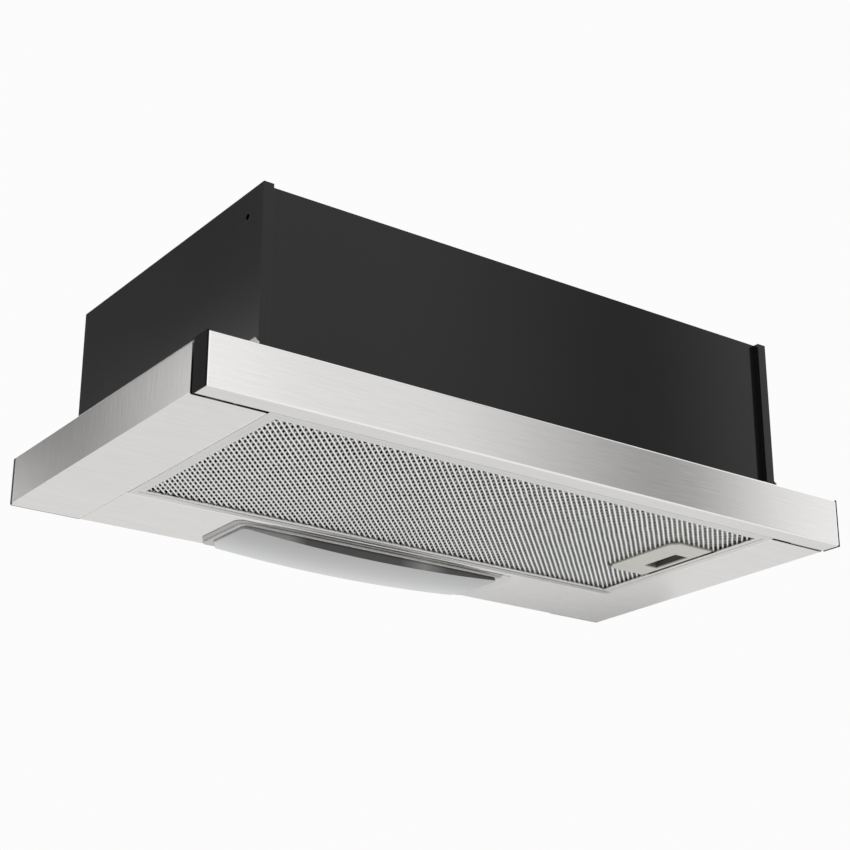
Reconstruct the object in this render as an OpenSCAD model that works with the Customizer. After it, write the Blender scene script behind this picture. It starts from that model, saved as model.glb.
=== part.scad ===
// Pull out range hood for a 600 mm wall cabinet.
// A black steel body goes up into the cabinet, a steel pan with two side wings closes the cabinet
// below, and a visor with the visible grease filter pulls out to the front.
// Pieces are drawn in the pan's frame: X to the right with 0 at the middle, Y to the rear from the
// fascia's front face, Z up from the pan's underside. in_frame() then moves them to the part's
// frame, whose origin is the middle of the outlet collar, where the duct's end stops.

/* [Overall] */
// Width over the fascia and over the wings
hood_w = 600; // [596:1:606]
// Depth from the fascia's front face to the rear edge of the wings
hood_d = 306; // [306:1:316]
// Height of the body's top above the pan's underside
body_h = 175; // [175:1:185]
// Width of the black body
body_w = 498.8; // [496:0.4:500]
// Thickness of folded sheet
sheet = 1; // [0.8:0.1:1]

/* [Pan and fascia] */
// Height of the fascia
fascia_h = 39.8; // [39.8:0.1:40.2]
// Depth of the fascia's lower flange
fascia_d = 16.8; // [16.4:0.1:16.8]
// Height of the wings' outer walls
wing_h = 38.9; // [34:0.1:39.5]
// Outer radius of the bends in visible steel
bend_r = 1.5; // [1.2:0.1:2]
// Height of the brackets between wings and body
bracket_h = 55; // [50:0.2:56]

/* [Filter cassette] */
// Width of the visible rim of the filter
rim_w = 10.4; // [9:0.2:11]
// Distance between ridges of the visible mesh, square to them
ridge_pitch = 3.96; // [3.6:0.04:6]
// Height of a ridge of the visible mesh
ridge_h = 1.8; // [1.2:0.1:2]
// Thickness of the mesh sheet
mesh_t = 0.45; // [0.4:0.05:0.6]

/* [Lamp] */
// Width over the flange of the lamp's rim
bezel_w = 279.2; // [270:0.4:280]
// Depth of the arch of the lamp cover at its middle, below its ends
lens_sag = 5.1; // [4:0.1:6]

/* [Blower] */
// Radius of the fan wheel
wheel_r = 46; // [44:0.5:46]
// Number of blades on the fan wheel
blade_count = 30; // [20:2:36]
// Smallest inner radius of the scroll, beside its tongue
scroll_r0 = 52; // [51:0.5:52]
// Largest inner radius of the scroll, where it turns up to the outlet
scroll_r1 = 76; // [70:1:76]
// Width of the scroll between its cheeks
scroll_w = 106; // [96:2:110]

/* [Outlet] */
// Outer radius of the outlet collar, for a duct with a 120 mm bore
collar_r = 59.5; // [58:0.1:59.8]
// Length of the collar that the duct goes over
collar_l = 28; // [20:1:40]
// Distance of the collar's axis behind the fascia's front face
collar_y = 155; // [155:1:156]

/* [Hidden] */
$fn = 64;
half_w = hood_w / 2;
side_x = body_w / 2;
lip_x = side_x - 8.4;
pan_x = lip_x + 0.2;
visor_x = lip_x - 0.5;
cassette_x = lip_x - 0.8;
pan_y = 20.2;
body_y0 = 20.9;
body_y1 = hood_d - 2;
panel_y = 26;
flange_z = fascia_h + 0.7;
side_in = side_x - sheet;
lid_z = body_h - sheet;

// Side screws of the body into the cabinet
side_screw_y = 42.4;
side_screw_z = 155;
side_screw_r = 2.5;

// Small fixings: pan-head screws in clearance holes
screw_r = 1.5;
screw_hole_r = 1.6;
screw_head_r = 3;
screw_head_h = 1.6;

// Shelf over the visor, and the inner filter in its opening
shelf_z = flange_z + 0.5 + sheet;
shelf_top = shelf_z + sheet;
shelf_open_x = [62, 180];
shelf_open_y = [70, 204];
inner_x = 189.5;
inner_y = [60.5, 213.5];
inner_filter_t = 3.4;
inner_filter_z = shelf_z - inner_filter_t;

// Pull-out: fixed channels on the body's sides, bars on the visor
rail_z = [13, 31];
rail_x0 = lip_x + 1.4;
rail_lip = 2;
rail_end = hood_d - 8;
bumper_y = rail_end - 8;
bar_gap = 0.5;
bar_end = bumper_y - 0.6;
beam_y = fascia_d - 0.2;
wall_z = [10, 36];
visor_rear = 227;
cover_rear = 175;

// Filter cassette
cassette_y = [fascia_d + 0.4, 224.8];
cassette_h = 9;
open_x = cassette_x - rim_w;
open_y = [cassette_y[0] + rim_w - 0.2, cassette_y[1] - rim_w + 0.8];
wall_x = cassette_x - 7.2;
wall_y = [cassette_y[0] + 7.2, cassette_y[1] - 7];
mesh_x = wall_x - sheet - 0.2;
mesh_y = [wall_y[0] + sheet + 0.2, wall_y[1] - sheet - 0.2];
mesh_z = 1.7;
backing_z = mesh_z + ridge_h + mesh_t + 0.4;
pivot_x = cassette_x - 4.7;
pivot_z = 3;
pivot_r = 1.6;
pivot_pin_r = 1.2;
pivot_hole_r = 1.25;

// Catch of the cassette
catch_x = [185, 226];
catch_y = [75, 160];
catch_z = [0.4, 7.2];
catch_wall = 1.6;
grip_x = [207.5, 222];
grip_y = [99, 138];
slider_z = [2.2, 6.6];
slider_x = [197, 229];
slider_y = [92, 145];
bolt_y = [112, 126];
bolt_z = [3.6, 6.4];
bolt_tip = cassette_x + 0.2;
keeper_x = cassette_x - 3.2;

// Rear strip and lamp
strip_x = lip_x;
strip_y = [225.7, hood_d - 1];
bezel_y = [231.4, strip_y[1] - 1.8];
bezel_ring = [bezel_w / 2 - 6.4, bezel_y[0] + 5.4, bezel_y[1] - 0.8];
bezel_flange_t = 0.5;
bezel_t = 1.5;
lens_x = bezel_w / 2 - 11.4;
lens_y = [241, bezel_y[1] - 2.4];
lens_z = -2.8;
lens_t = 1.5;
lens_seat_z = -0.9;
bulb_y = 271;
bulb_z = 17;

// Blower
fan_y = 178;
fan_z = 112.5;
scroll_from = 60;
scroll_turn = 240;
scroll_wall = 2;
shaft_r = 4;
shaft_hole_r = 4.05;
inlet_r = 40;
motor_x = [62, 118];
motor_r = 38;
motor_collar_r = 28;

// Outlet, from the frame's origin
collar_wall = 1.5;
collar_flange = 2;
flap_y = 4.5;
flap_z = 2.6;
flap_r = 56.6;
flap_t = 1.2;
flap_pin_r = 1.5;
flap_hole_r = 1.55;
bridge_half = 1.5;

// Switches behind the fascia's left end
switch_x = [-half_w + 4, -half_w + 34];
switch_y = [21.5, 75];
switch_z = [sheet, 34];
speed_z = 24;
light_z = 11;
knob_w = 8;
stem_w = 5;
stem_h = 3.2;

black_paint = [0.2, 0.2, 0.2];
steel = [0.83, 0.82, 0.81];
zinc = [0.68, 0.69, 0.7];
black_plastic = [0.07, 0.07, 0.07];
grey_plastic = [0.75, 0.74, 0.71];
white_plastic = [0.92, 0.92, 0.9];

// ---- Helpers ----

// From the pan's frame to the part's frame
module in_frame() {
  translate([0, -collar_y, -body_h - collar_flange]) children();
}

// Draws a right-hand piece, or its mirror image on the left
module handed(side) {
  mirror([side == "left" ? 1 : 0, 0, 0]) children();
}

// Block between two limits on each axis
module span(x, y, z) {
  translate([x[0], y[0], z[0]]) cube([x[1] - x[0], y[1] - y[0], z[1] - z[0]]);
}

// Block symmetric about X = 0
module wide(half_x, y, z) {
  span([-half_x, half_x], y, z);
}

// Extrudes a (Y, Z) outline along X
module along_x(x) {
  translate([x[0], 0, 0]) rotate([90, 0, 90]) linear_extrude(height = x[1] - x[0]) children();
}

// Extrudes an (X, Z) outline along Y
module along_y(y) {
  translate([0, y[1], 0]) rotate([90, 0, 0]) linear_extrude(height = y[1] - y[0]) children();
}

// Quarter of a sheet bend; turn picks the quarter, 0 being right and up
module bend_2d(turn) {
  rotate(turn * 90) intersection() {
    difference() {
      circle(r = bend_r);
      circle(r = bend_r - sheet);
    }
    square(bend_r);
  }
}

// Pan-head screw with its head's seat at z = 0 and its shank down
module screw(length) {
  difference() {
    union() {
      cylinder(r = screw_head_r, h = screw_head_h * 0.5);
      translate([0, 0, screw_head_h * 0.5])
        cylinder(r1 = screw_head_r, r2 = screw_head_r * 0.7, h = screw_head_h * 0.5, $fn = 48);
      translate([0, 0, -length]) cylinder(r = screw_r, h = length);
    }
    for (turn = [0, 90]) rotate(turn)
      translate([-1.7, -0.3, screw_head_h * 0.5]) cube([3.4, 0.6, screw_head_h]);
  }
}

// ---- Body ----

bracket_screw_y = [60, 160, 260];
bracket_screw_z = shelf_top + 4;
lid_screw_x = side_x - 6;
lid_screw_y = [60, 160, 265];
rear_screw_z = [40, 150];

// Holes for the bracket screws, through whatever lies in their way
module bracket_screw_holes() {
  for (y = bracket_screw_y)
    translate([side_x - 3, y, bracket_screw_z]) rotate([0, 90, 0]) cylinder(r = screw_hole_r, h = 6);
}

module lid_screw_holes() {
  for (y = lid_screw_y)
    translate([lid_screw_x, y, lid_z - 3]) cylinder(r = screw_hole_r, h = 6);
}

module rear_screw_holes() {
  for (z = rear_screw_z)
    translate([lid_screw_x, body_y1 + 3, z]) rotate([90, 0, 0]) cylinder(r = screw_hole_r, h = 6);
}

grommet_y = 285;
grommet_z = 64;
grommet_hole_r = 5;

module side_panel_shape() {
  difference() {
    union() {
      span([side_in, side_x], [body_y0, body_y1], [sheet, body_h]);
      span([lip_x, side_x], [body_y0, body_y0 + sheet], [flange_z, body_h]);
      span([lip_x, lip_x + sheet], [body_y0, panel_y], [flange_z, body_h]);
      span([pan_x + 0.6, side_x], [body_y0, body_y1 - sheet], [sheet, 2 * sheet]);
      span([side_x - 11, side_x], [panel_y + 4, body_y1 - 3], [lid_z - sheet, lid_z]);
      span([side_x - 11, side_x], [body_y1 - 2 * sheet, body_y1 - sheet], [12, lid_z - 6]);
    }
    translate([side_x - 2, side_screw_y, side_screw_z])
      rotate([0, 90, 0]) cylinder(r = side_screw_r, h = 4);
    bracket_screw_holes();
    lid_screw_holes();
    rear_screw_holes();
  }
}

module side_panel_left() {
  color(black_paint) in_frame() difference() {
    handed("left") side_panel_shape();
    translate([-side_x - 2, grommet_y, grommet_z])
      rotate([0, 90, 0]) cylinder(r = grommet_hole_r, h = 4);
  }
}

module side_panel_right() {
  color(black_paint) in_frame() side_panel_shape();
}

// Set back behind the side flanges; its lower flange carries the shelf
module front_panel() {
  color(black_paint) in_frame() {
    wide(side_in, [panel_y, panel_y + sheet], [flange_z, body_h]);
    wide(side_in, [panel_y, panel_y + 14], [shelf_z - sheet, shelf_z]);
    wide(side_x - 12, [panel_y, panel_y + 12], [lid_z - sheet, lid_z]);
  }
}

module rear_panel() {
  color(black_paint) in_frame() difference() {
    wide(side_in, [body_y1 - sheet, body_y1], [sheet, body_h]);
    rear_screw_holes();
    handed("left") rear_screw_holes();
  }
}

gland_x = 200;
gland_y = 268;
gland_r = 8;
top_hole_r = 55;
collar_screw_r = 64.5;

module top_panel() {
  color(black_paint) in_frame() difference() {
    wide(side_in, [panel_y + sheet, body_y1 - sheet], [lid_z, body_h]);
    translate([0, collar_y, lid_z - 1]) cylinder(r = top_hole_r, h = 4, $fn = 128);
    translate([gland_x, gland_y, lid_z - 1]) cylinder(r = gland_r, h = 4);
    lid_screw_holes();
    handed("left") lid_screw_holes();
    translate([0, collar_y, lid_z - 1]) collar_screw_spots() cylinder(r = screw_hole_r, h = 4);
  }
}

module collar_screw_spots() {
  for (turn = [45 : 90 : 315]) rotate(turn) translate([collar_screw_r, 0, 0]) children();
}

lamp_cable_x = 190;
lamp_cable_y = 284;

// Shelf with turned-up sides, screwed through the body's sides into the brackets. The blower
// stands on its middle, and the air comes up through a window on each side
module inner_shelf() {
  color(zinc) in_frame() difference() {
    union() {
      wide(side_in, [panel_y + sheet, body_y1 - 2 * sheet], [shelf_z, shelf_top]);
      for (side = ["left", "right"]) handed(side)
        span([side_in - sheet, side_in], [panel_y + 4, body_y1 - 6], [shelf_z, shelf_top + 9]);
    }
    for (side = ["left", "right"]) handed(side)
      span(shelf_open_x, shelf_open_y, [shelf_z - 1, shelf_top + 1]);
    bracket_screw_holes();
    handed("left") bracket_screw_holes();
    translate([lamp_cable_x, lamp_cable_y, shelf_z - 1]) cylinder(r = 4.5, h = 4);
  }
}

// ---- Pan ----

wing_lip = 8;

// Section of a wing: floor, outer wall and the lip that the cabinet's side stands on
module wing_2d() {
  bend_x = half_w - bend_r;
  bend_z = wing_h - bend_r;
  translate([pan_x, 0]) square([bend_x - pan_x, sheet]);
  translate([bend_x, bend_r]) bend_2d(3);
  translate([half_w - sheet, bend_r]) square([sheet, bend_z - bend_r]);
  translate([bend_x, bend_z]) bend_2d(0);
  translate([half_w - wing_lip, wing_h - sheet]) square([wing_lip - bend_r, sheet]);
}

module wing_shape() {
  along_y([pan_y, hood_d]) wing_2d();
  span([pan_x, half_w - sheet], [hood_d - sheet, hood_d], [0, 13]);
}

module wing_left() {
  color(steel) in_frame() handed("left") wing_shape();
}

module wing_right() {
  color(steel) in_frame() wing_shape();
}

bracket_foot = 13;
bracket_chamfer = 4.4;

// Angle bracket with clipped corners, between the wing's floor and the body's side
module wing_bracket_shape() {
  front = body_y0 - 1.7;
  rear = body_y1 - 4;
  difference() {
    union() {
      along_x([side_x, side_x + sheet]) polygon([
        [front, sheet], [rear, sheet], [rear, bracket_h - bracket_chamfer],
        [rear - bracket_chamfer, bracket_h], [front + bracket_chamfer, bracket_h],
        [front, bracket_h - bracket_chamfer]]);
      span([side_x, side_x + bracket_foot], [front, rear], [sheet, 2 * sheet]);
    }
    bracket_screw_holes();
  }
}

module wing_bracket_left() {
  color(steel) in_frame() handed("left") wing_bracket_shape();
}

module wing_bracket_right() {
  color(steel) in_frame() wing_bracket_shape();
}

module wing_screws() {
  color(zinc) in_frame() for (side = ["left", "right"]) handed(side)
    for (y = bracket_screw_y)
      translate([side_x + sheet, y, bracket_screw_z]) rotate([0, 90, 0]) screw(6);
}

lamp_open_x = lens_x - 3.3;
lamp_open_y = [lens_y[0] + 3, lens_y[1] - 2.7];

// Fixed strip behind the filter, turned up behind the body, with the lamp's opening
module rear_strip() {
  color(steel) in_frame() difference() {
    union() {
      wide(strip_x, strip_y, [0, sheet]);
      wide(strip_x, [strip_y[1] - sheet, strip_y[1]], [0, 12]);
    }
    wide(lamp_open_x, lamp_open_y, [-1, 2 * sheet]);
  }
}

// ---- Lamp ----

// Outline of the lamp: round front corners, rear corners cut off by rear[0] along X and rear[1]
// along Y
module lamp_2d(half_x, y, corner_r, rear) {
  polygon([[corner_r - half_x, y[0]], [half_x - corner_r, y[0]], [half_x, y[0] + corner_r],
    [half_x, y[1] - rear[1]], [half_x - rear[0], y[1]], [rear[0] - half_x, y[1]],
    [-half_x, y[1] - rear[1]], [-half_x, y[0] + corner_r]]);
  for (x = [corner_r - half_x, half_x - corner_r]) translate([x, y[0] + corner_r]) circle(r = corner_r);
}

// The same outline as a plate between two heights
module lamp_plate(half_x, y, z, corner_r, rear) {
  translate([0, 0, z[0]]) linear_extrude(height = z[1] - z[0]) lamp_2d(half_x, y, corner_r, rear);
}

// Thin flange and a raised ring that holds the cover's own flange
module lamp_bezel() {
  color(steel) in_frame() difference() {
    union() {
      lamp_plate(bezel_w / 2, bezel_y, [-bezel_flange_t, 0], 7, [8.6, 14.6]);
      lamp_plate(bezel_ring[0], [bezel_ring[1], bezel_ring[2]], [-bezel_t, 0], 6, [3, 5]);
    }
    lamp_plate(lens_x + 2.7, [lens_y[0] - 2.4, lens_y[1] + 1.1], [lens_seat_z, 1], 5, [7, 10]);
    lamp_plate(lens_x + 0.3, [lens_y[0] - 0.3, lens_y[1] + 0.3], [-bezel_t - 1, 1], 5, [7.7, 11]);
  }
}

lens_arc_r = (lens_x * lens_x + lens_sag * lens_sag) / (2 * lens_sag);

// Section across the lamp cover: all that lies above the arch of its underside
module above_arch_2d(inset) {
  intersection() {
    translate([0, lens_z - lens_sag + lens_arc_r])
      circle(r = lens_arc_r - inset, $fn = 720);
    translate([-lens_x - 2, lens_z - lens_sag - 1]) square([2 * lens_x + 4, lens_sag + 4 - lens_z]);
  }
}

module lamp_lens() {
  deep = lens_z - lens_sag - 2;
  long_y = [lens_y[0] - 1, lens_y[1] + 1];
  color([0.8, 0.8, 0.78]) in_frame() difference() {
    union() {
      intersection() {
        along_y(long_y) above_arch_2d(0);
        lamp_plate(lens_x, lens_y, [deep, 0], 5, [7.7, 11]);
      }
      lamp_plate(lens_x + 2.3, [lens_y[0] - 2, lens_y[1] + 0.8], [lens_seat_z + 0.05, 0], 6, [7, 10]);
    }
    intersection() {
      along_y(long_y) above_arch_2d(lens_t);
      lamp_plate(lens_x - lens_t, [lens_y[0] + lens_t, lens_y[1] - lens_t], [deep, 1], 3.5, [7.2, 10.4]);
    }
  }
}

reflector_t = 0.8;
reflector_h = 35;

// Trapezoid section of the reflector, a wall thickness smaller all round when inset
module reflector_2d(inset) {
  slope = 9;
  polygon([[lamp_open_y[0] - 4 + inset, sheet], [lamp_open_y[1] + 4 - inset, sheet],
    [lamp_open_y[1] + 4 - slope - inset, reflector_h - inset],
    [lamp_open_y[0] - 4 + slope + inset, reflector_h - inset]]);
}

module lamp_reflector() {
  end_x = lens_x + 1;
  color(white_plastic) in_frame() difference() {
    union() {
      along_x([-end_x, end_x]) reflector_2d(0);
      wide(end_x + 5, [lens_y[0] - 6, lens_y[1] + 2], [sheet, sheet + reflector_t]);
    }
    along_x([-end_x + reflector_t, end_x - reflector_t]) reflector_2d(reflector_t);
    wide(end_x - reflector_t, [lamp_open_y[0] - 3, lamp_open_y[1] + 3], [0, sheet + 2]);
  }
}

socket_l = 30;
socket_r = 12;

// Screw-shell lamp holders, open towards the middle
module lamp_sockets() {
  color(white_plastic) in_frame() for (side = ["left", "right"]) handed(side)
    translate([lens_x + 1 - reflector_t - socket_l, bulb_y, bulb_z]) rotate([0, 90, 0])
      difference() {
        union() {
          cylinder(r = socket_r, h = socket_l);
          translate([0, 0, socket_l - 6]) cylinder(r = socket_r + 2, h = 6);
        }
        translate([0, 0, -1]) cylinder(r = 7.6, h = 23);
      }
}

bulb_r = 14;
bulb_l = 62;

// Candle bulb: screw base and a spindle-shaped glass
module lamp_bulbs() {
  arc_r = (bulb_l * bulb_l / 4 + bulb_r * bulb_r) / (2 * bulb_r);
  color([0.95, 0.95, 0.9, 0.6]) in_frame() for (side = ["left", "right"]) handed(side)
    translate([lens_x - reflector_t - socket_l - 2, bulb_y, bulb_z]) rotate([0, 90, 0]) {
      cylinder(r = 7, h = 22);
      translate([0, 0, -bulb_l / 2]) rotate_extrude() intersection() {
        translate([bulb_r - arc_r, 0]) circle(r = arc_r, $fn = 180);
        translate([0, -bulb_l / 2]) square([bulb_r, bulb_l - 2]);
      }
      translate([0, 0, -4]) cylinder(r = 7, h = 5);
    }
}

// ---- Pull-out ----

// Fixed channel: web on the body's side, flanges and two lips that hold the bar
module rail_shape() {
  span([side_in - sheet, side_in], [body_y0 + 1, rail_end], rail_z);
  for (z = [rail_z[0], rail_z[1] - sheet])
    span([rail_x0, side_in], [body_y0 + 1, rail_end], [z, z + sheet]);
  for (z = [rail_z[0], rail_z[1] - sheet - rail_lip])
    span([rail_x0, rail_x0 + 0.8], [body_y0 + 1, rail_end], [z, z + sheet + rail_lip]);
}

module rail_left() {
  color(zinc) in_frame() handed("left") rail_shape();
}

module rail_right() {
  color(zinc) in_frame() rail_shape();
}

module rail_bumpers() {
  color(black_plastic) in_frame() for (side = ["left", "right"]) handed(side)
    span([rail_x0 + 1.2, side_in - sheet], [bumper_y, bumper_y + 6],
      [rail_z[0] + sheet, rail_z[1] - sheet]);
}

// Bar with a T section: its head runs in the channel, its stem passes between the lips
module slide_bar_shape() {
  head_x = [rail_x0 + 0.8 + bar_gap, side_in - sheet - bar_gap];
  head_z = [rail_z[0] + sheet + bar_gap, rail_z[1] - sheet - bar_gap];
  stem_z = [rail_z[0] + sheet + rail_lip + 1, rail_z[1] - sheet - rail_lip - 1];
  span(head_x, [beam_y, bar_end], head_z);
  span([visor_x, head_x[0]], [beam_y, bar_end], stem_z);
}

module slide_bar_left() {
  color(zinc) in_frame() handed("left") slide_bar_shape();
}

module slide_bar_right() {
  color(zinc) in_frame() slide_bar_shape();
}

// ---- Visor ----

cap_t = 1.4;
fascia_lip = 10;

// Section of the fascia: lower flange, front and upper flange with soft bends
module fascia_2d() {
  translate([bend_r, 0]) square([fascia_d - bend_r, sheet]);
  translate([bend_r, bend_r]) bend_2d(2);
  translate([0, bend_r]) square([sheet, fascia_h - 2 * bend_r]);
  translate([bend_r, fascia_h - bend_r]) bend_2d(1);
  translate([bend_r, fascia_h - sheet]) square([fascia_lip - bend_r, sheet]);
}

fascia_screw_x = [-220, -80, 80, 220];
fascia_screw_y = 5.8;

module fascia_screw_holes() {
  for (x = fascia_screw_x)
    translate([x, fascia_screw_y, fascia_h - 4]) cylinder(r = screw_hole_r, h = 6);
}

module fascia() {
  color(steel) in_frame() difference() {
    along_x([-half_w + cap_t, half_w - cap_t]) fascia_2d();
    fascia_screw_holes();
  }
}

// Moulded cap: end plate with a hollow plug that fits the fascia's section
module end_cap_shape() {
  plate_x = half_w - cap_t;
  plug_y = [sheet, fascia_d - 0.2];
  plug_z = [sheet, fascia_h - sheet];
  span([plate_x, half_w], [0, fascia_d + 0.6], [-0.2, fascia_h + 0.2]);
  difference() {
    span([plate_x - 10, plate_x], plug_y, plug_z);
    span([plate_x - 11, plate_x - 1], [plug_y[0] + 1.6, plug_y[1] - 1.6],
      [plug_z[0] + 1.6, plug_z[1] - 1.6]);
    // room for the inside of the fascia's bends
    span([plate_x - 11, plate_x], [0, bend_r], [0, bend_r]);
    span([plate_x - 11, plate_x], [0, bend_r], [fascia_h - bend_r, fascia_h]);
  }
}

module end_cap_left() {
  color(black_plastic) in_frame() handed("left") end_cap_shape();
}

module end_cap_right() {
  color(black_plastic) in_frame() end_cap_shape();
}

// Channel behind the fascia that ties the bars, the frame and the fascia together
module visor_beam() {
  beam_x = side_x - 0.4;
  color(black_paint) in_frame() difference() {
    union() {
      wide(beam_x, [beam_y - sheet, beam_y], [sheet, fascia_h - sheet]);
      wide(beam_x, [5, beam_y], [sheet, 2 * sheet]);
      wide(beam_x, [2, beam_y], [fascia_h - 2 * sheet, fascia_h - sheet]);
    }
    fascia_screw_holes();
    translate([-pivot_x, beam_y + 1, pivot_z]) rotate([90, 0, 0]) cylinder(r = pivot_hole_r, h = 4);
  }
}

module fascia_screws() {
  color(zinc) in_frame() for (x = fascia_screw_x)
    translate([x, fascia_screw_y, fascia_h]) screw(5);
}

// Side walls joined by a low rear bar, pivot lug on the left and the catch's keeper
module visor_frame() {
  color(zinc) in_frame() difference() {
    union() {
      for (side = ["left", "right"]) handed(side) {
        span([visor_x - sheet, visor_x], [beam_y, visor_rear], wall_z);
        span([visor_x - 8, visor_x], [beam_y, visor_rear], [wall_z[1] - sheet, wall_z[1]]);
      }
      wide(visor_x, [visor_rear - sheet, visor_rear], [wall_z[0], wall_z[0] + 5]);
      span([-visor_x, -visor_x + 10], [visor_rear - sheet, visor_rear], [1.4, wall_z[0] + 1]);
      span([keeper_x, keeper_x + 1.5], [bolt_y[0] - 7, bolt_y[1] + 7], [2.6, wall_z[0] + 2]);
      span([keeper_x, visor_x], [bolt_y[0] - 7, bolt_y[1] + 7], [wall_z[0], wall_z[0] + 2]);
    }
    translate([-pivot_x, visor_rear + 1, pivot_z]) rotate([90, 0, 0])
      cylinder(r = pivot_hole_r, h = 4);
    span([keeper_x - 1, keeper_x + 2], [bolt_y[0] - 0.8, bolt_y[1] + 0.8],
      [bolt_z[0] - 0.6, bolt_z[1] + 0.8]);
  }
}

module visor_cover() {
  color(zinc) in_frame() {
    wide(visor_x, [beam_y, cover_rear], [wall_z[1], wall_z[1] + sheet]);
    wide(visor_x - 9, [cover_rear - sheet, cover_rear], [wall_z[1] - 3, wall_z[1] + sheet]);
  }
}

// ---- Filter cassette ----

// Stepped rim below, upright wall and inner lip above, as one folded frame
module filter_frame() {
  step_x = cassette_x - 5.4;
  step_y = [cassette_y[0] + 5.4, cassette_y[1] - 5.4];
  color(steel) in_frame() difference() {
    union() {
      wide(cassette_x, cassette_y, [0, sheet]);
      wide(step_x + 0.6, [step_y[0] - 0.6, step_y[1] + 0.6], [0, sheet + 0.4]);
      wide(wall_x, wall_y, [0, cassette_h]);
    }
    wide(open_x, open_y, [-1, cassette_h + 1]);
    wide(step_x, step_y, [-1, 0.4]);
    wide(wall_x - sheet, [wall_y[0] + sheet, wall_y[1] - sheet], [sheet + 0.4, cassette_h - sheet]);
    span([wall_x - 2, wall_x + 1], [bolt_y[0] - 0.5, bolt_y[1] + 0.5],
      [bolt_z[0] - 0.4, bolt_z[1] + 0.4]);
  }
}

// Zigzag section of a corrugated sheet, centred, with a rising and a falling face per ridge
module corrugation_2d(pitch, height, thickness, count) {
  top = [for (i = [-count : count]) [i * pitch / 2, (i % 2 == 0 ? 0 : height) + thickness]];
  low = [for (i = [count : -1 : -count]) [i * pitch / 2, i % 2 == 0 ? 0 : height]];
  polygon(concat(low, top));
}

// Corrugated sheet whose ridges run at the given angle, trimmed to the cassette and its catch
module mesh_layer(z, pitch, height, thickness, angle) {
  reach = mesh_x + mesh_y[1];
  ridges = floor(reach / pitch);
  difference() {
    intersection() {
      translate([0, (mesh_y[0] + mesh_y[1]) / 2, z]) rotate(angle) rotate([90, 0, 90])
        translate([0, 0, -reach]) linear_extrude(height = 2 * reach)
          corrugation_2d(pitch, height, thickness, ridges);
      wide(mesh_x, mesh_y, [0, cassette_h]);
    }
    span([catch_x[0] - 0.5, mesh_x + 1], [catch_y[0] - 0.5, catch_y[1] + 0.5], [0, cassette_h]);
  }
}

module filter_mesh() {
  color([0.8, 0.8, 0.79]) in_frame() mesh_layer(mesh_z, ridge_pitch, ridge_h, mesh_t, 45);
}

module filter_backing() {
  color([0.6, 0.6, 0.6]) in_frame()
    mesh_layer(backing_z, 3 * ridge_pitch, cassette_h - sheet - backing_z - mesh_t, mesh_t, -45);
}

// Pivots at the cassette's left corners: a barrel on the rim and a pin into the visor
module filter_pivots() {
  front = [cassette_y[0] + 0.2, cassette_y[0] + 6];
  rear = [cassette_y[1] - 6, cassette_y[1] - 0.2];
  pin_front = [beam_y - sheet + 0.1, front[1]];
  pin_rear = [rear[0], visor_rear + 0.3];
  color(zinc) in_frame() for (ends = [[front, pin_front], [rear, pin_rear]]) {
    translate([-pivot_x, ends[0][1], pivot_z]) rotate([90, 0, 0])
      cylinder(r = pivot_r, h = ends[0][1] - ends[0][0]);
    span([-pivot_x - pivot_r, -wall_x], ends[0], [sheet + 0.4, pivot_z]);
    translate([-pivot_x, ends[1][1], pivot_z]) rotate([90, 0, 0])
      cylinder(r = pivot_pin_r, h = ends[1][1] - ends[1][0]);
  }
}

// ---- Catch ----

catch_end = wall_x - sheet;

// Shallow tray with a finger opening; its inner corners are cut off
module catch_housing() {
  cut = 6;
  floor_z = catch_z[0] + 1.4;
  color(grey_plastic) in_frame() difference() {
    union() {
      translate([0, 0, catch_z[0]]) linear_extrude(height = catch_z[1] - catch_z[0])
        polygon([[catch_x[0] + cut, catch_y[0]], [catch_x[1], catch_y[0]],
          [catch_x[1], catch_y[1]], [catch_x[0] + cut, catch_y[1]],
          [catch_x[0], catch_y[1] - cut], [catch_x[0], catch_y[0] + cut]]);
      span([catch_x[1] - 1, catch_end], catch_y, [floor_z, catch_z[1]]);
    }
    // room for the slider and its spring, and the way out for the bolt
    span([slider_x[0] - 8.5, catch_end - catch_wall],
      [slider_y[0] - 0.5, slider_y[1] + 0.5], [floor_z, catch_z[1] + 1]);
    span([catch_end - catch_wall - 1, catch_end + 1], [bolt_y[0] - 0.5, bolt_y[1] + 0.5],
      [bolt_z[0] - 0.4, bolt_z[1] + 0.4]);
    span(grip_x, grip_y, [catch_z[0] - 1, floor_z + 1]);
    // hollows on both sides of the slider
    for (y = [[catch_y[0] + catch_wall, slider_y[0] - 2], [slider_y[1] + 2, catch_y[1] - catch_wall]])
      span([catch_x[0] + cut + 2, catch_end - catch_wall], y, [floor_z, catch_z[1] + 1]);
  }
}

module catch_back() {
  color(grey_plastic) in_frame()
    span([catch_x[0] + 5, catch_end], [catch_y[0] + 1, catch_y[1] - 1], [catch_z[1], cassette_h - sheet]);
}

// Slider with a window for the fingertip and a bolt with a sloped tip
module catch_slider() {
  color(grey_plastic) in_frame() {
    difference() {
      span(slider_x, slider_y, slider_z);
      span([grip_x[0] + 0.5, grip_x[1] + 2], [grip_y[0], grip_y[1]], [slider_z[0] - 1, slider_z[1] + 1]);
    }
    along_y(bolt_y) polygon([[slider_x[1] - 1, bolt_z[0]], [bolt_tip - 2.4, bolt_z[0]],
      [bolt_tip, bolt_z[1] - 0.8], [bolt_tip, bolt_z[1]], [slider_x[1] - 1, bolt_z[1]]]);
  }
}

spring_bow = 6.6;
spring_half = 20;
spring_t = 0.5;

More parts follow.
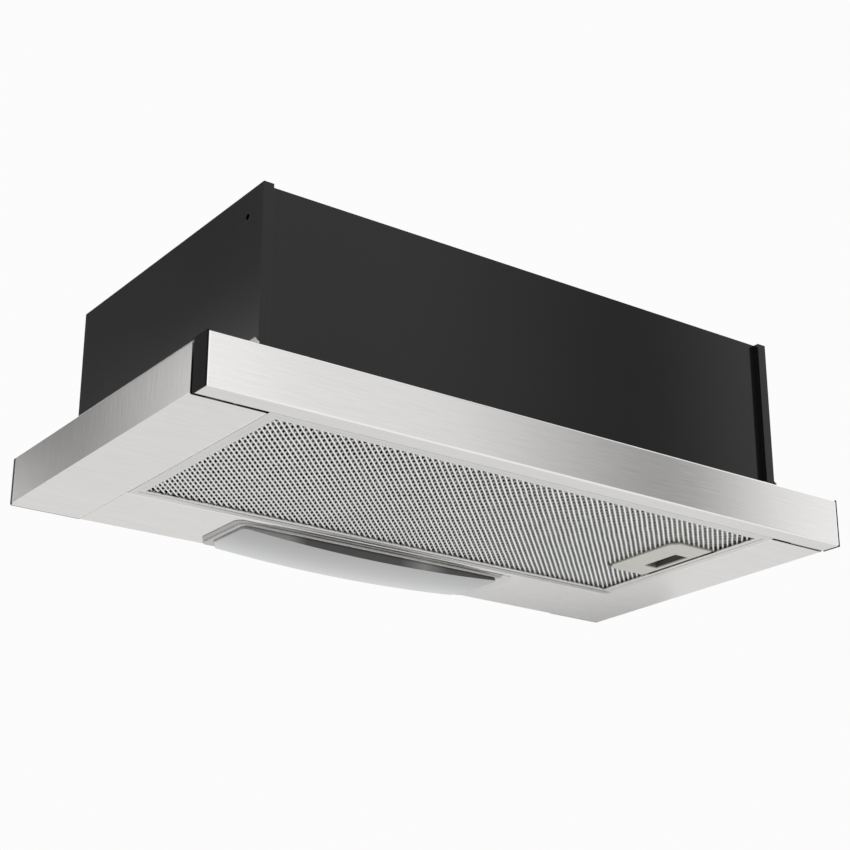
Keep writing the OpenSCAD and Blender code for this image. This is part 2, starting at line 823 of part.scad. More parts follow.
// Bow spring: its ends bear on the slider, its middle on the tray's wall
module catch_spring() {
  arc_r = (spring_half * spring_half + spring_bow * spring_bow) / (2 * spring_bow);
  middle_y = (slider_y[0] + slider_y[1]) / 2;
  color(zinc) in_frame()
    translate([slider_x[0] - 8.4 + arc_r, middle_y, slider_z[0] + 0.6])
      linear_extrude(height = 3) intersection() {
        difference() {
          circle(r = arc_r, $fn = 180);
          circle(r = arc_r - spring_t, $fn = 180);
        }
        translate([-arc_r - 1, -spring_half]) square([spring_bow + 1, 2 * spring_half]);
      }
}

// ---- Inner filter ----

module inner_filter_frame() {
  color(steel) in_frame() difference() {
    union() {
      wide(inner_x, inner_y, [inner_filter_z, shelf_z]);
      wide(inner_x + 5, [inner_y[0] - 5, inner_y[1] + 5], [shelf_z - sheet, shelf_z]);
    }
    wide(inner_x - 9, [inner_y[0] + 9, inner_y[1] - 9], [inner_filter_z - 1, shelf_z + 1]);
    wide(inner_x - sheet, [inner_y[0] + sheet, inner_y[1] - sheet],
      [inner_filter_z + sheet, shelf_z + 1]);
  }
}

module inner_filter_core() {
  pitch = 4 * ridge_pitch;
  count = floor(inner_x / pitch) * 2;
  color([0.7, 0.7, 0.7]) in_frame() intersection() {
    along_y(inner_y) translate([0, inner_filter_z + sheet])
      corrugation_2d(pitch, 1.6, 0.6, count);
    wide(inner_x - sheet - 0.3, [inner_y[0] + sheet + 0.3, inner_y[1] - sheet - 0.3],
      [0, shelf_top]);
  }
}

// Hooks under the shelf that hold the inner filter's flange
module inner_filter_clips() {
  color(zinc) in_frame() for (x = [-120, 120]) {
    for (y = [inner_y[0] - 5.2, inner_y[1] + 5.2]) {
      inward = y < 100 ? 1 : -1;
      translate([x - 7, y, shelf_z - 2 * sheet]) scale([1, inward, 1]) {
        translate([0, -1.2, 0]) cube([14, 1.2, 2 * sheet]);
        translate([0, -1.2, -0.8]) cube([14, 4.2, 0.8]);
      }
    }
  }
}

// ---- Blower ----

// Radius of the scroll at an angle counted from its tongue
function scroll_r(turn) = scroll_r0 + (scroll_r1 - scroll_r0) * turn / scroll_turn;

// Spiral outline with the outlet neck up to the body's top, a wall thickness larger with grow
module scroll_2d(grow) {
  spiral = [for (turn = [0 : 6 : scroll_turn])
    [fan_y + (scroll_r(turn) + grow) * cos(scroll_from - turn),
     fan_z + (scroll_r(turn) + grow) * sin(scroll_from - turn)]];
  tongue_y = fan_y + (scroll_r0 + grow) * cos(scroll_from);
  polygon(concat(spiral, [[fan_y - scroll_r1 - grow, lid_z], [tongue_y, lid_z]]));
}

// One moulded half of the scroll, with a round inlet and two feet on the shelf
module volute_half() {
  cheek_x = scroll_w / 2;
  difference() {
    along_x([0, cheek_x + scroll_wall]) scroll_2d(scroll_wall);
    difference() {
      along_x([-1, cheek_x]) scroll_2d(0);
      translate([cheek_x - 5, fan_y, fan_z]) rotate([0, 90, 0])
        cylinder(r = inlet_r + 2, h = 6);
    }
    translate([cheek_x - 6, fan_y, fan_z]) rotate([0, 90, 0]) cylinder(r = inlet_r, h = 12);
    along_x([-1, cheek_x]) translate([fan_y - scroll_r1, lid_z - 1])
      square([scroll_r1 + scroll_r0 * cos(scroll_from), 2]);
  }
  // feet as tall as the scroll's underside where each stands
  for (turn = [105, 195]) {
    foot_r = scroll_r(turn) + scroll_wall / 2;
    foot_y = fan_y + foot_r * cos(scroll_from - turn);
    span([cheek_x - 14, cheek_x - 2], [foot_y - 4, foot_y + 4],
      [shelf_top, fan_z + foot_r * sin(scroll_from - turn)]);
  }
}

module volute_left() {
  color([0.85, 0.85, 0.83]) in_frame() handed("left") volute_half();
}

module volute_right() {
  color([0.85, 0.85, 0.83]) in_frame() volute_half();
}

blade_t = 1.2;
blade_depth = 7;

// Forward-curved blade: an arc of a ring that meets the rim at a steep angle
module blade_2d() {
  curve_r = 6;
  intersection() {
    translate([wheel_r - blade_depth / 2, -curve_r * 0.8]) difference() {
      circle(r = curve_r, $fn = 32);
      circle(r = curve_r - blade_t, $fn = 32);
      translate([-2 * curve_r, -3 * curve_r]) square([4 * curve_r, 3 * curve_r]);
    }
    difference() {
      circle(r = wheel_r - 0.2, $fn = 128);
      circle(r = wheel_r - blade_depth, $fn = 128);
    }
  }
}

wheel_half = scroll_w / 2 - 6.5;

// Double-inlet wheel: middle disc with hub, a crown of blades and a ring at each end
module fan_wheel() {
  ring_w = 3;
  color([0.25, 0.25, 0.26]) in_frame() translate([0, fan_y, fan_z]) rotate([0, 90, 0]) difference() {
    union() {
      translate([0, 0, -wheel_half]) linear_extrude(height = 2 * wheel_half)
        for (i = [0 : blade_count - 1]) rotate(i * 360 / blade_count) blade_2d();
      for (z = [-wheel_half, wheel_half - ring_w]) translate([0, 0, z]) difference() {
        cylinder(r = wheel_r, h = ring_w, $fn = 128);
        translate([0, 0, -1]) cylinder(r = wheel_r - blade_depth, h = ring_w + 2, $fn = 128);
      }
      translate([0, 0, -1]) cylinder(r = wheel_r, h = 2, $fn = 128);
      translate([0, 0, -9]) cylinder(r = 9, h = 18);
    }
    translate([0, 0, -20]) cylinder(r = shaft_r, h = 40);
  }
}

module motor_shaft() {
  color(zinc) in_frame() translate([-11, fan_y, fan_z]) rotate([0, 90, 0])
    cylinder(r = shaft_r, h = motor_x[1] + 11 + 5);
}

// Motor with domed ends and a finned stator ring, bored for its shaft
module motor() {
  length = motor_x[1] - motor_x[0];
  color([0.45, 0.46, 0.48]) in_frame() translate([motor_x[0], fan_y, fan_z]) rotate([0, 90, 0])
    difference() {
      union() {
        rotate_extrude() polygon([[0, 0], [motor_collar_r, 0], [motor_r - 4, 6], [motor_r - 4, length - 6],
          [motor_collar_r - 2, length], [0, length]]);
        translate([0, 0, 14]) cylinder(r = motor_r, h = length - 28);
        for (turn = [0 : 30 : 330]) rotate(turn)
          translate([motor_r - 6, -1.5, 8]) cube([5, 3, length - 16]);
      }
      translate([0, 0, -1]) cylinder(r = shaft_hole_r, h = length + 2);
    }
}

// Ring on the motor's face with three arms to posts on the scroll's cheek
module motor_bracket() {
  plate_t = 2;
  cheek_out = scroll_w / 2 + scroll_wall;
  post_r = inlet_r + 7;
  color(zinc) in_frame() translate([motor_x[0] - plate_t, fan_y, fan_z]) rotate([0, 90, 0])
    difference() {
      union() {
        cylinder(r = motor_collar_r - 2, h = plate_t);
        for (turn = [30, 150, 270]) rotate(turn) {
          translate([0, -5, 0]) cube([post_r, 10, plate_t]);
          translate([post_r, 0, 0]) cylinder(r = 5, h = plate_t);
          translate([post_r, 0, -(motor_x[0] - plate_t - cheek_out)])
            cylinder(r = 4, h = motor_x[0] - plate_t - cheek_out);
        }
      }
      translate([0, 0, -1]) cylinder(r = motor_collar_r / 2, h = plate_t + 2);
    }
}

capacitor_r = 14;
capacitor_h = 52;

// Motor capacitor: a can in a foot ring, with a slot between its two terminals
module capacitor() {
  color([0.88, 0.88, 0.86]) in_frame() translate([148, 262, shelf_top]) difference() {
    union() {
      cylinder(r = capacitor_r + 2, h = 4);
      cylinder(r = capacitor_r, h = capacitor_h);
      translate([0, 0, capacitor_h])
        cylinder(r1 = capacitor_r, r2 = capacitor_r - 4, h = 3, $fn = 48);
    }
    translate([-capacitor_r, -1, capacitor_h + 1]) cube([2 * capacitor_r, 2, 3]);
  }
}

box_x = [176, 226];
box_y = [258, body_y1 - sheet];
box_z = [118, 158];

// Terminal box on the rear panel: moulded box, overlapping lid and two ribs
module terminal_box() {
  color(black_plastic) in_frame() {
    difference() {
      span(box_x, [box_y[0] + 3, box_y[1]], box_z);
      span([box_x[0] + 2, box_x[1] - 2], [box_y[0] + 2, box_y[1] - 2], [box_z[0] + 2, box_z[1] - 2]);
    }
    span([box_x[0] - 1, box_x[1] + 1], [box_y[0], box_y[0] + 3], [box_z[0] - 1, box_z[1] + 1]);
  }
}

cable_r = 3;

cable_knee_r = cable_r + 0.4;

// Straight run of cable between two points
module cable_run(from, to) {
  d = to - from;
  length = norm(d);
  translate(from) rotate([0, acos(d[2] / length), atan2(d[1], d[0])])
    cylinder(r = cable_r, h = length, $fn = 24);
}

// Runs along a route, with a round knee at each turn
module cable(route) {
  for (i = [0 : len(route) - 2]) cable_run(route[i], route[i + 1]);
  for (i = [1 : len(route) - 2]) translate(route[i]) sphere(r = cable_knee_r, $fn = 24);
}

// Routes of the inner leads, in the pan's frame
lamp_route = [[lamp_cable_x, lamp_cable_y, box_z[0]], [lamp_cable_x, lamp_cable_y, 38.5],
  [100, lamp_cable_y, 38.5], [100, 262, 38.5]];
motor_route = [[box_x[0], 280, 130], [132, 280, 130], [132, 192, 118], [motor_x[1], 192, 118]];
switch_route = [[box_x[0], 292, 126], [-225, 292, 126], [-225, 285, grommet_z],
  [-side_x - 8, 285, grommet_z], [-side_x - 18, 285, 8], [switch_x[1] - 6, 270, 8],
  [switch_x[1] - 6, switch_y[1], 8]];

module wiring() {
  color(black_plastic) in_frame() {
    cable(lamp_route);
    cable(motor_route);
    cable(switch_route);
  }
}

module grommet() {
  color(black_plastic) in_frame() translate([-side_x - 1.5, grommet_y, grommet_z]) rotate([0, 90, 0])
    difference() {
      union() {
        cylinder(r = grommet_hole_r + 2, h = 1.5);
        cylinder(r = grommet_hole_r, h = 4);
        translate([0, 0, 2.5]) cylinder(r = grommet_hole_r + 2, h = 1.5);
      }
      translate([0, 0, -1]) cylinder(r = cable_r, h = 8);
    }
}

// ---- Outlet ----

// Collar on a round flange, with a ledge and a bridge between the two flaps
module outlet_collar() {
  inner_r = collar_r - collar_wall;
  color(black_plastic) difference() {
    union() {
      difference() {
        union() {
          translate([0, 0, -collar_flange]) cylinder(r = collar_r + 10, h = collar_flange, $fn = 128);
          cylinder(r = collar_r, h = collar_l, $fn = 128);
        }
        cylinder(r = inner_r, h = collar_l + 1, $fn = 128);
        translate([0, 0, -collar_flange - 1]) cylinder(r = top_hole_r, h = collar_flange + 2, $fn = 128);
      }
      intersection() {
        cylinder(r = inner_r + 0.5, h = 5, $fn = 128);
        translate([-collar_r, -bridge_half, 0]) cube([2 * collar_r, 2 * bridge_half, 5]);
      }
      intersection() {
        translate([0, 0, -collar_flange]) cylinder(r = top_hole_r + 0.5, h = collar_flange, $fn = 128);
        translate([-collar_r, -bridge_half, -collar_flange])
          cube([2 * collar_r, 2 * bridge_half, collar_flange]);
      }
    }
    for (y = [-flap_y, flap_y])
      translate([-collar_r - 1, y, flap_z]) rotate([0, 90, 0]) cylinder(r = flap_hole_r, h = 2 * collar_r + 2);
    collar_screw_spots() translate([0, 0, -collar_flange - 1]) cylinder(r = screw_hole_r, h = 4);
  }
}

module collar_screws() {
  color(zinc) collar_screw_spots() screw(6);
}

// Half disc with a barrel along its hinge line and a pin at each end
module flap_shape() {
  pin_end = sqrt(pow(collar_r - 0.5, 2) - pow(flap_y, 2)) - 0.1;
  translate([0, 0, 0.5]) intersection() {
    cylinder(r = flap_r, h = flap_t, $fn = 128);
    translate([-flap_r, flap_y, 0]) cube([2 * flap_r, flap_r, flap_t]);
  }
  translate([-flap_r + 1, flap_y, flap_z]) rotate([0, 90, 0]) cylinder(r = 2, h = 2 * (flap_r - 1), $fn = 48);
  translate([-pin_end, flap_y, flap_z]) rotate([0, 90, 0]) cylinder(r = flap_pin_r, h = 2 * pin_end, $fn = 48);
  translate([-flap_r * 0.6, flap_y, 0.5 + flap_t]) cube([1.2, 28, 2]);
  translate([flap_r * 0.6 - 1.2, flap_y, 0.5 + flap_t]) cube([1.2, 28, 2]);
}

module flap_front() {
  color(black_plastic) mirror([0, 1, 0]) flap_shape();
}

module flap_rear() {
  color(black_plastic) flap_shape();
}

// Gland for the mains lead, bored through
module cable_gland() {
  color(black_plastic) in_frame() translate([gland_x, gland_y, lid_z]) difference() {
    union() {
      translate([0, 0, -8]) cylinder(r = gland_r, h = 24);
      translate([0, 0, sheet]) cylinder(r = gland_r + 3, h = 5, $fn = 6);
      translate([0, 0, -5]) cylinder(r = gland_r + 3, h = 5, $fn = 6);
    }
    translate([0, 0, -9]) cylinder(r = 3.6, h = 30);
  }
}

// Screws of the lid into the side flanges and of the rear panel
module body_screws() {
  color(zinc) in_frame() for (side = ["left", "right"]) handed(side) {
    for (y = lid_screw_y) translate([lid_screw_x, y, body_h]) screw(6);
    for (z = rear_screw_z) translate([lid_screw_x, body_y1, z]) rotate([-90, 0, 0]) screw(6);
  }
}

// ---- Switches ----

speed_slot_x = [switch_x[0] + 3, switch_x[0] + 26];
light_slot_x = [switch_x[0] + 3, switch_x[0] + 18];
knob_y = [switch_y[0] - 3.1, switch_y[0] - 0.4];

module switch_box() {
  slot_half = stem_h / 2 + 0.4;
  color(black_plastic) in_frame() difference() {
    span(switch_x, switch_y, switch_z);
    span(speed_slot_x, [switch_y[0] - 1, switch_y[0] + 8], [speed_z - slot_half, speed_z + slot_half]);
    span(light_slot_x, [switch_y[0] - 1, switch_y[0] + 8], [light_z - slot_half, light_z + slot_half]);
  }
}

// Slider knob: a ribbed cap in front of the slot and a stem into it
module knob(slot_x, z) {
  left = slot_x[0] + 0.5;
  middle = left + stem_w / 2;
  difference() {
    span([middle - knob_w / 2, middle + knob_w / 2], knob_y, [z - 4.5, z + 4.5]);
    for (x = [-2, 0, 2])
      span([middle + x - 0.35, middle + x + 0.35], [knob_y[0] - 1, knob_y[0] + 0.7], [z - 3.5, z + 3.5]);
  }
  span([left, left + stem_w], [knob_y[1], switch_y[0] + 7], [z - stem_h / 2, z + stem_h / 2]);
}

module speed_knob() {
  color(grey_plastic) in_frame() knob(speed_slot_x, speed_z);
}

module light_knob() {
  color(grey_plastic) in_frame() knob(light_slot_x, light_z);
}

side_panel_left();
side_panel_right();
front_panel();
rear_panel();
top_panel();
inner_shelf();
wing_left();
wing_right();
wing_bracket_left();
wing_bracket_right();
wing_screws();
rear_strip();
lamp_bezel();
lamp_lens();
lamp_reflector();
lamp_sockets();
lamp_bulbs();
rail_left();
rail_right();
rail_bumpers();
inner_filter_frame();
inner_filter_core();
inner_filter_clips();
volute_left();
volute_right();
motor();
motor_bracket();
capacitor();
terminal_box();
wiring();
grommet();
outlet_collar();
collar_screws();
body_screws();
cable_gland();
switch_box();
fascia();
end_cap_left();
end_cap_right();
visor_beam();
visor_frame();
visor_cover();
slide_bar_left();
slide_bar_right();
fascia_screws();
filter_frame();
filter_mesh();
filter_backing();
filter_pivots();
catch_housing();
catch_back();
catch_slider();
catch_spring();
speed_knob();
light_knob();
fan_wheel();
motor_shaft();
flap_front();
flap_rear();
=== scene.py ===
# The looks of a pull out range hood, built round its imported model. Lengths are in metres.
import math
import bpy
import bmesh
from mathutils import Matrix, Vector, noise


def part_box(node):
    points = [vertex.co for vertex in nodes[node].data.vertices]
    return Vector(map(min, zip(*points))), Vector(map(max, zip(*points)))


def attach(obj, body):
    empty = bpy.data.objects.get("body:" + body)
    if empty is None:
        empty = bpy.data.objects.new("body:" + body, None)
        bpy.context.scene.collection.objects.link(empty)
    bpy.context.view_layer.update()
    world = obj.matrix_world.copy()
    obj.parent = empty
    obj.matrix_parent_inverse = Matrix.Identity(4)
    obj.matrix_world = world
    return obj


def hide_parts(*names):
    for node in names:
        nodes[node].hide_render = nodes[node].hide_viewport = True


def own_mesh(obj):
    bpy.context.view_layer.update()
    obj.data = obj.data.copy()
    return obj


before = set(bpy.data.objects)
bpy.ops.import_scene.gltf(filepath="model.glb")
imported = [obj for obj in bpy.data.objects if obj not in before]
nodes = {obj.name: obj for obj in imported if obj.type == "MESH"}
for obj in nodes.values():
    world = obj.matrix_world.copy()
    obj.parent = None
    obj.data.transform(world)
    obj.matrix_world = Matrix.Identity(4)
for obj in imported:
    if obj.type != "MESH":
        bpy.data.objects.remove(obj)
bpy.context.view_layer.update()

# ---- Studio ----
# The hood hangs in a white room over a pale floor, as it would over a hob. The camera looks up at
# it from the front left. Large soft lights and grey cards stand round it out of view.
scene = bpy.context.scene
scene.view_settings.view_transform = "Standard"
camera_aim = Vector((-0.0067, 0.0076, -0.0884))
camera_azimuth = math.radians(-35.78)
camera_elevation = math.radians(-20.96)
camera_roll = math.radians(0.14)
camera_distance = 1.5
camera_lens_mm = 77.37
room_brightness = 0.97


def seen_from(azimuth, elevation):
    """Direction from the hood to a place at that azimuth and elevation; azimuth 0 is the front."""
    level = math.cos(elevation)
    return Vector((math.sin(azimuth) * level, -math.cos(azimuth) * level, math.sin(elevation)))


def hang(name, data, place, aim, roll=0.0):
    """A camera, light or card at a place, turned to face another."""
    holder = bpy.data.objects.new(name, data)
    turn = (Vector(aim) - Vector(place)).to_track_quat("-Z", "Y").to_matrix().to_4x4()
    holder.matrix_world = turn @ turn.Rotation(roll, 4, "Z")
    holder.location = place
    scene.collection.objects.link(holder)
    return holder


def stand(name, data, azimuth, elevation, distance):
    """A light or card that faces the hood, with its angles in degrees."""
    towards = seen_from(math.radians(azimuth), math.radians(elevation))
    return hang(name, data, camera_aim + distance * towards, camera_aim)


def softbox(name, azimuth, elevation, distance, size, power):
    """A rectangular soft light that neither the camera nor a reflection sees."""
    lamp = bpy.data.lights.new(name, "AREA")
    lamp.shape = "RECTANGLE"
    lamp.size, lamp.size_y = size
    lamp.energy = power
    holder = stand(name, lamp, azimuth, elevation, distance)
    holder.visible_camera = False
    holder.visible_glossy = False


camera_data = bpy.data.cameras.new("camera")
camera_data.lens = camera_lens_mm
camera_place = camera_aim + camera_distance * seen_from(camera_azimuth, camera_elevation)
scene.camera = hang("camera", camera_data, camera_place, camera_aim, camera_roll)

softbox("softbox_left", azimuth=-75, elevation=35, distance=2.6, size=(1.6, 1.6), power=14)
softbox("softbox_front", azimuth=20, elevation=30, distance=2.8, size=(1.4, 1.8), power=18)

scene.world = bpy.data.worlds.new("white_room")
scene.world.use_nodes = True
room = scene.world.node_tree.nodes["Background"]
room.inputs["Color"].default_value = (1, 1, 1, 1)
room.inputs["Strength"].default_value = room_brightness


class Value:
    """An output of a shader node. Sums and products of values and numbers add Math nodes."""

    def __init__(self, finish, socket):
        self.finish = finish
        self.socket = socket

    def math(self, operation, *terms):
        return self.finish.node("Math", {"operation": operation}, dict(enumerate(terms)))

    def __add__(self, other):
        return self.math("ADD", self, other)

    def __radd__(self, other):
        return self.math("ADD", other, self)

    def __sub__(self, other):
        return self.math("SUBTRACT", self, other)

    def __rsub__(self, other):
        return self.math("SUBTRACT", other, self)

    def __mul__(self, other):
        return self.math("MULTIPLY", self, other)

    def __rmul__(self, other):
        return self.math("MULTIPLY", other, self)

    def __truediv__(self, other):
        return self.math("DIVIDE", self, other)

    def __abs__(self):
        return self.math("ABSOLUTE", self)

    def __gt__(self, other):
        return self.math("GREATER_THAN", self, other)

    def __lt__(self, other):
        return self.math("LESS_THAN", self, other)


def least(one, other):
    """The smaller of two, of which at least one is a Value."""
    value = one if isinstance(one, Value) else other
    return value.math("MINIMUM", one, other)


def most(one, other):
    """The larger of two, of which at least one is a Value."""
    value = one if isinstance(one, Value) else other
    return value.math("MAXIMUM", one, other)


def share(value):
    """A value kept between 0 and 1."""
    return most(0, least(1, value))


class Finish:
    """A material with a Principled shader, and the nodes that vary it over the surface."""

    def __init__(self, name, **constants):
        self.material = bpy.data.materials.new(name)
        self.material.use_nodes = True
        self.tree = self.material.node_tree
        self.shader = self.tree.nodes["Principled BSDF"]
        self.place = self.node("TexCoord", output="Object")
        self.facing = self.node("TexCoord", output="Normal")
        self.set(**constants)

    def plug(self, socket, value):
        if isinstance(value, Value):
            self.tree.links.new(value.socket, socket)
        elif socket.type == "RGBA":
            socket.default_value = (*value, 1)
        else:
            socket.default_value = value

    def node(self, kind, settings=None, inputs=None, output=None):
        """Adds a node: its settings, then its inputs by name or number; gives one output."""
        made = self.tree.nodes.new("ShaderNode" + kind)
        for name, value in (settings or {}).items():
            setattr(made, name, value)
        for key, value in (inputs or {}).items():
            if isinstance(key, int):
                socket = made.inputs[key]
            else:
                socket = next(s for s in made.inputs if s.name == key and s.enabled)
            self.plug(socket, value)
        return Value(self, next(s for s in made.outputs if s.enabled and output in (None, s.name)))

    def set(self, **inputs):
        """Sets sockets of the Principled shader: base_color= is its Base Color, and so on."""
        for name, value in inputs.items():
            title = name.replace("_", " ").title().replace("Ior", "IOR")
            self.plug(self.shader.inputs[title], value)

    def axis(self, letter, vector=None):
        """One coordinate of a vector, or of the place on the piece."""
        return self.node("SeparateXYZ", inputs={"Vector": vector or self.place}, output=letter)

    def noise(self, scale, detail=2.0, stretch=(1, 1, 1)):
        """Noise from 0 to 1, with features about 1 / scale metres wide and longer where stretch
        is small."""
        place = self.node("Mapping", inputs={"Vector": self.place, "Scale": stretch})
        return self.node("TexNoise", inputs={"Vector": place, "Scale": scale, "Detail": detail},
                         output="Fac")

    def mix(self, low, high, blend):
        """Colour between two others."""
        return self.node("Mix", {"data_type": "RGBA"}, {"Factor": blend, "A": low, "B": high})

    def tint(self, colour, light):
        """A colour made lighter or darker by a value."""
        grey = self.node("CombineColor", inputs={"Red": light, "Green": light, "Blue": light})
        return self.node("Mix", {"data_type": "RGBA", "blend_type": "MULTIPLY"},
                         {"Factor": 1.0, "A": colour, "B": grey})

    def bump(self, height, depth, over=None):
        """Relief of the given depth in metres, over a rounded normal if there is one."""
        inputs = {"Height": height, "Distance": depth, "Strength": 1.0}
        if over:
            inputs["Normal"] = over
        self.set(normal=self.node("Bump", inputs=inputs))

    def rounded(self, radius):
        """Normal that rounds off sharp edges as a real tool leaves them."""
        return self.node("Bevel", {"samples": 4}, {"Radius": radius})


card_white = (0.97, 0.97, 0.97)


def card(name, azimuth, elevation, distance, size, shade):
    """A card that only reflections see, as light as shade(x, y) gives in metres from its middle."""
    panel = bmesh.new()
    bmesh.ops.create_grid(panel, x_segments=1, y_segments=1, size=0.5)
    data = bpy.data.meshes.new(name)
    panel.to_mesh(data)
    holder = stand(name, data, azimuth, elevation, distance)
    holder.scale = (size[0], size[1], 1)
    cloth = Finish(name + "_cloth", base_color=(0, 0, 0), specular_ior_level=0, emission_strength=1)
    grey = shade(cloth.axis("X") * size[0], cloth.axis("Y") * size[1])
    cloth.set(emission_color=cloth.tint(card_white, least(grey, 1)))
    data.materials.append(cloth.material)
    holder.visible_camera = False
    holder.visible_diffuse = False
    holder.visible_shadow = False


def right_shade(x, y):
    """Dark in the middle, rising steeply to white on the right and gently on the left."""
    return most(0.2 + 3.1 * x, least(0.84, 0.26 - 1.25 * x))


def rear_left_shade(x, y):
    """A dark band with a slope on each side, all of it kept dark above a slanting line."""
    slopes = most(0.14 + 2.4 * x, 0.22 - 7 * x)
    below_line = most(0, 0.72 * x - y - 0.12)
    return least(slopes, 0.18 + 9 * below_line)


def low_right_shade(x, y):
    """Grey, a little lighter on its right."""
    return 0.3 + 0.2 * x


card("card_right", azimuth=43.3, elevation=22, distance=2.6, size=(1.7, 2.0),
     shade=right_shade)
card("card_rear_left", azimuth=-150.7, elevation=22, distance=2.6, size=(0.9, 1.6),
     shade=rear_left_shade)
card("card_low_right", azimuth=137.7, elevation=-12.1, distance=2.6, size=(0.5, 0.3),
     shade=low_right_shade)


def build(name, form, finish):
    """An object of its own from a modelled form, in its finish."""
    data = bpy.data.meshes.new(name)
    form.to_mesh(data)
    data.materials.append(finish.material)
    made = bpy.data.objects.new(name, data)
    scene.collection.objects.link(made)
    return made


floor_drop = 1.75
floor_half = 9.0
floor_white = (0.86, 0.86, 0.85)

floor_paint = Finish("pale_floor", roughness=0.8)
floor_patches = floor_paint.noise(scale=3)
floor_paint.set(base_color=floor_paint.tint(floor_white, 0.97 + 0.03 * floor_patches))
floor_form = bmesh.new()
bmesh.ops.create_grid(floor_form, x_segments=8, y_segments=8, size=floor_half)
floor = build("floor", floor_form, floor_paint)
floor.location.z = -floor_drop

# ---- Body ----
# The black box that goes up into the cabinet: two folded sides, front, rear and top sheets. Steel
# of 1 mm, powder coated in satin black, with the faint orange peel of that coat. The beam behind
# the visor's front has the same coat.
paint_black = (0.0045, 0.0045, 0.0047)
peel_scale = 700
peel_depth = 0.00003
edge_radius = 0.0004


def dress(finish, *names):
    """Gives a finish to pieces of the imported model."""
    for name in names:
        for slot in nodes[name].material_slots:
            slot.material = finish.material


satin_black = Finish("satin_black_paint", specular_ior_level=0.38)
blotch = satin_black.noise(scale=9, detail=3)
satin_black.set(base_color=satin_black.tint(paint_black, 0.85 + 0.3 * blotch))
satin_black.set(roughness=0.11 + 0.04 * blotch + 0.03 * satin_black.noise(scale=300))
satin_black.bump(satin_black.noise(scale=peel_scale, detail=1), peel_depth,
                 satin_black.rounded(edge_radius))
dress(satin_black, "side_panel_left", "side_panel_right", "front_panel", "rear_panel",
      "top_panel", "visor_beam")

# ---- Shelf, rails and slides ----
# Zinc-coated sheet that stays out of sight: the shelf over the visor, the fixed channels, the
# visor's bars, frame and cover. Folded, with the coat's crystals showing as soft patches. The
# screws, pins and the motor's shaft are zinc-coated too.
zinc_grey = (0.47, 0.48, 0.5)
crystal_scale = 130
zinc_grain_scale = 900
zinc_grain_depth = 0.00002

zinc = Finish("zinc_coated_steel", metallic=1.0)
crystals = zinc.node("TexVoronoi", {"feature": "F1"},
                     {"Vector": zinc.place, "Scale": crystal_scale, "Randomness": 1.0}, "Color")
facet = zinc.node("SeparateColor", inputs={"Color": crystals}, output="Red")
zinc.set(base_color=zinc.tint(zinc_grey, 0.82 + 0.3 * facet))
zinc.set(roughness=0.34 + 0.12 * facet + 0.08 * zinc.noise(scale=60))
zinc.bump(zinc.noise(scale=zinc_grain_scale, detail=1), zinc_grain_depth, zinc.rounded(edge_radius))
dress(zinc, "inner_shelf", "rail_left", "rail_right", "slide_bar_left", "slide_bar_right",
      "visor_frame", "visor_cover", "motor_bracket", "inner_filter_clips",
      "wing_screws", "collar_screws", "body_screws", "fascia_screws", "filter_pivots",
      "catch_spring", "motor_shaft")

# ---- Blower ----
# Double-inlet wheel in a white moulded scroll, on a motor with a laminated stator, with its
# capacitor on the shelf and a terminal box on the rear sheet. Rubber holds the leads.
white = (0.78, 0.78, 0.75)
black = (0.016, 0.016, 0.017)
wheel_grey = (0.05, 0.05, 0.053)
rubber_black = (0.02, 0.02, 0.02)
stator_grey = (0.3, 0.31, 0.33)
lamination = 0.0005
lamination_relief = 0.00006


def moulded(name, colour, roughness, grain=1200, depth=0.00002, shade=None):
    """Injection-moulded plastic: a fine spark-eroded grain and slightly uneven colour.

    shade makes it lighter or darker by place."""
    plastic = Finish(name)
    light = 0.93 + 0.14 * plastic.noise(scale=25, detail=2)
    if shade:
        light = light * shade(plastic)
    plastic.set(base_color=plastic.tint(colour, light))
    plastic.set(roughness=roughness - 0.05 + 0.1 * plastic.noise(scale=180))
    plastic.bump(plastic.noise(scale=grain, detail=1), depth, plastic.rounded(edge_radius))
    return plastic


white_plastic = moulded("white_moulding", white, roughness=0.38)
black_plastic = moulded("black_moulding", black, roughness=0.36)
wheel_plastic = moulded("wheel_moulding", wheel_grey, roughness=0.45)
rubber = moulded("black_rubber", rubber_black, roughness=0.62, grain=700, depth=0.00004)
dress(white_plastic, "volute_left", "volute_right", "capacitor")
dress(wheel_plastic, "fan_wheel")
dress(black_plastic, "terminal_box", "switch_box")
dress(rubber, "grommet", "wiring", "rail_bumpers")

stator = Finish("laminated_stator", metallic=1.0)
sheets = stator.node("Math", {"operation": "PINGPONG"}, {0: stator.axis("X"), 1: lamination})
sheets = sheets / lamination
stator.set(base_color=stator.tint(stator_grey, 0.6 + 0.4 * sheets))
stator.set(roughness=0.4 + 0.1 * stator.noise(scale=90))
stator.bump(sheets, lamination_relief)
dress(stator, "motor")

# ---- Outlet ----
# The duct collar with its two non-return flaps, and the gland for the mains lead: black plastic,
# screwed and clamped to the top sheet.
dress(black_plastic, "outlet_collar", "flap_front", "flap_rear", "cable_gland")

# ---- Steel pan ----
# The wings and the strip behind the filter: stainless sheet of 1 mm, brushed from side to side
# before it was folded, so the grain runs up the outer walls. Each wing's rear end has black edging.
# The strip's cut edge next to the filter gets a painted highlight.
steel_colour = (0.74, 0.73, 0.72)
# Colour of the painted highlights on edges.
highlight_white = (0.98, 0.98, 0.97)
streak_scale = 1200
streak_length = 0.03
streak_depth = 0.00002
streak_contrast = 0.24
broad_contrast = 0.1
steel_edge = 0.0005
square_on = 0.7
highlight_width = 0.0008
wall_skin = 0.0006
wall_edging = 0.0034
floor_edging = 0.0014


